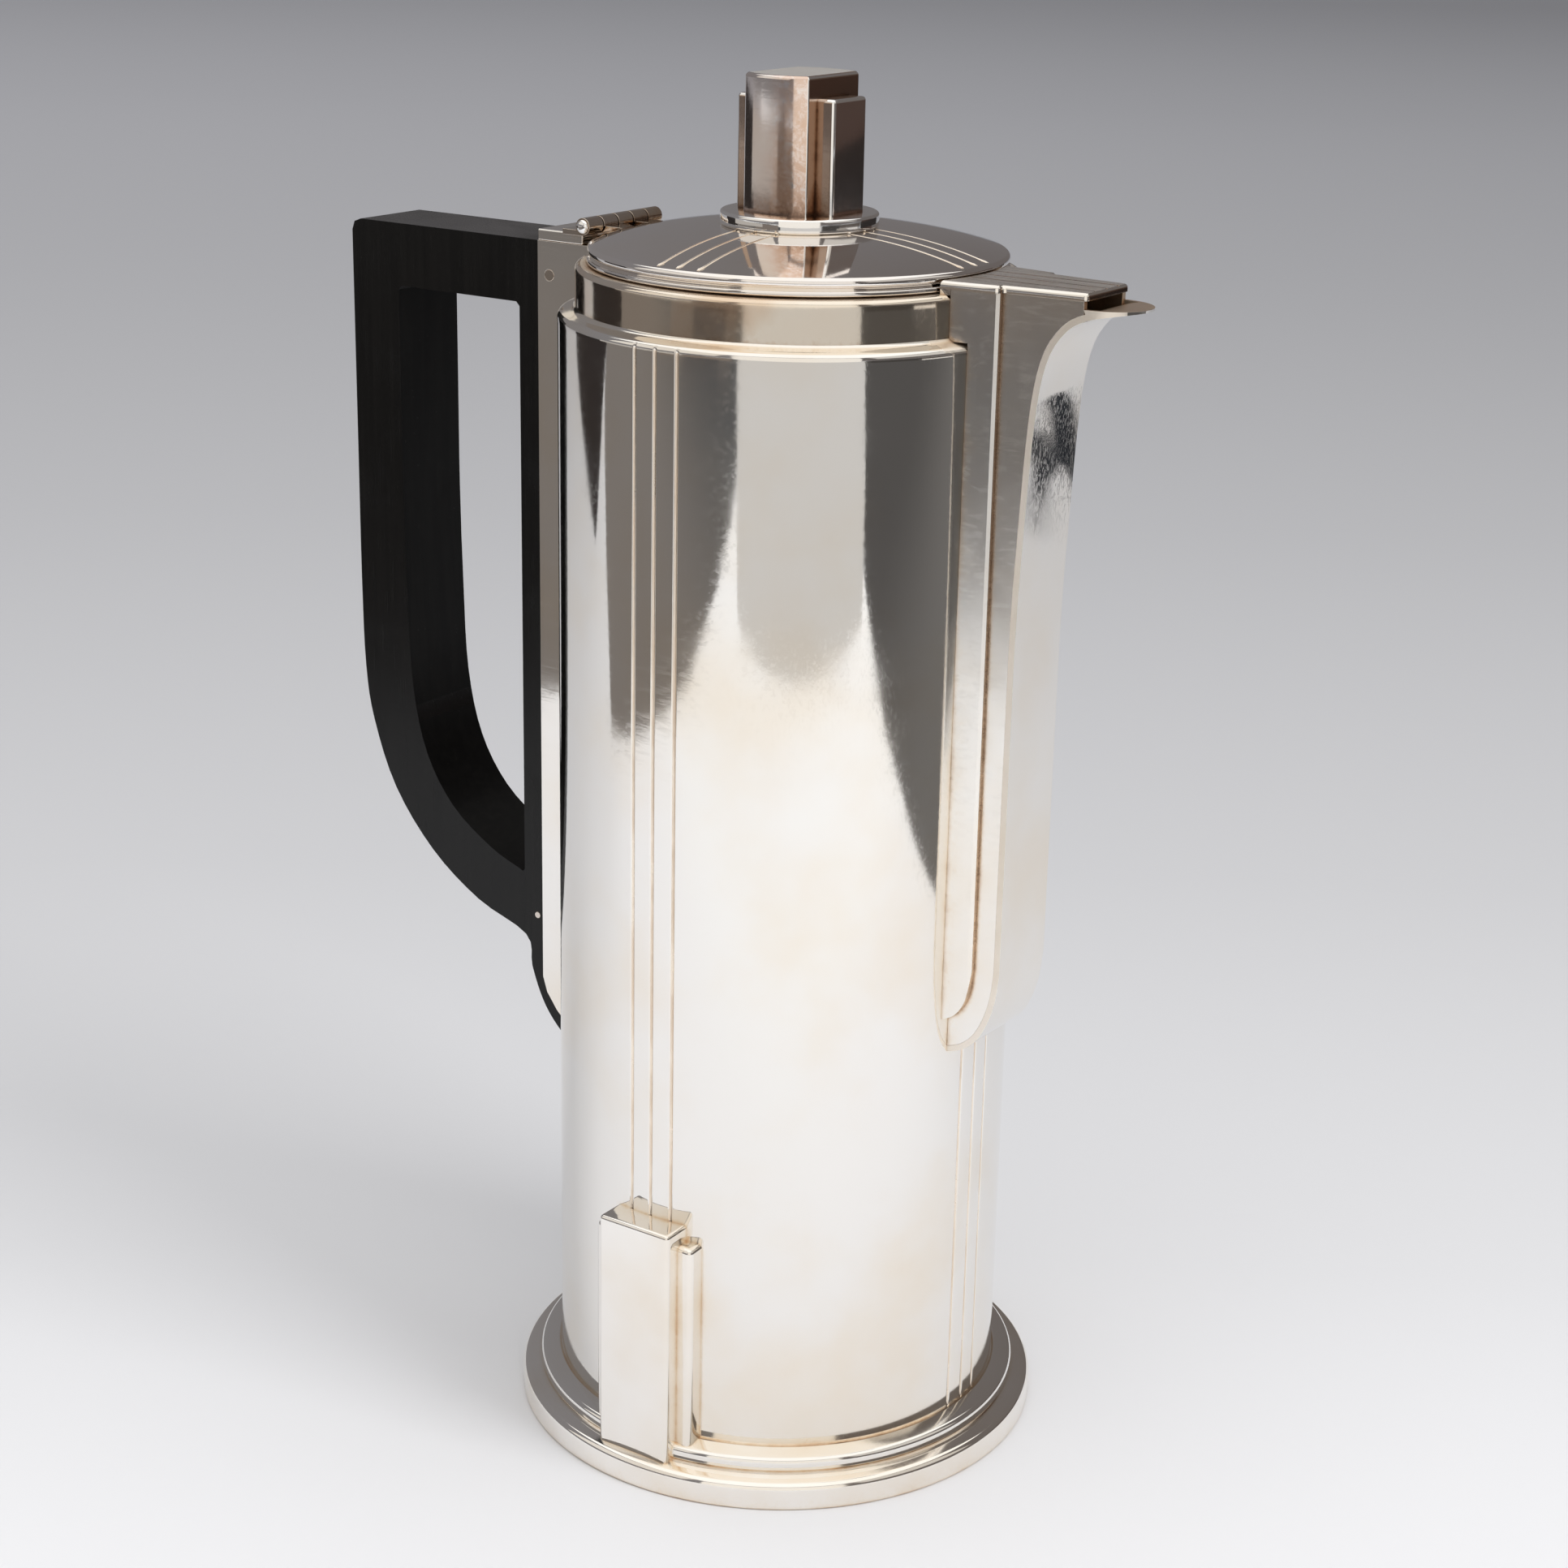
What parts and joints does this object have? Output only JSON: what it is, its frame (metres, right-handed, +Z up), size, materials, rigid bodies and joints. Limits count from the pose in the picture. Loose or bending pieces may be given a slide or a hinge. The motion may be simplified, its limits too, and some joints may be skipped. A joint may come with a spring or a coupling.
{
  "type": "silver coffee pot",
  "caption": "Tall cylindrical silver coffee pot with a stepped foot, a layered covered spout, an ebony loop handle and a hinged domed lid with a block finial.",
  "frame": {"origin": "centre of the foot, on the plane the pot stands on", "axes": "+Z up, +X toward the spout, -X toward the handle, hinge axis along Y"},
  "size_m": [0.1667, 0.1004, 0.254],
  "materials": {
    "silver": "polished sterling silver, fine wear, warm tarnish in the seams",
    "silver_worn": "silver hinge and pins, duller and darker in the gaps",
    "steel": "satin",
    "ebony": "black, satin polish"
  },
  "bodies": {
    "pot": {"body_shell": "silver", "body_floor": "silver", "foot_ring": "silver", "foot_moulding": "silver", "collar": "silver", "collar_rim": "silver", "block_front": "silver", "block_front_step": "silver", "block_rear": "silver", "block_rear_step": "silver", "spout_front": "silver", "spout_side_right": "silver", "spout_side_left": "silver", "spout_bar_right": "silver", "spout_bar_left": "silver", "spout_cover": "silver", "handle_socket": "silver", "socket_cap": "silver", "handle": "ebony", "handle_pin_upper": "silver_worn", "handle_pin_lower": "silver_worn", "hinge_pot_leaf": "silver_worn", "hinge_pin": "steel"},
    "lid": {"lid_dome": "silver", "lid_bezel": "silver", "hinge_lid_leaf": "silver_worn", "finial_disc": "silver", "finial_core": "silver", "finial_rib_front": "silver", "finial_rib_rear": "silver", "finial_stud": "steel", "finial_washer": "steel", "finial_nut": "steel"}
  },
  "joints": [
    {"name": "lid_hinge", "type": "hinge", "parent": "pot", "child": "lid", "pos_m": [-0.0395, 0, 0.2247], "axis": [0, -1, 0], "range_deg": [0, 100]}
  ]
}
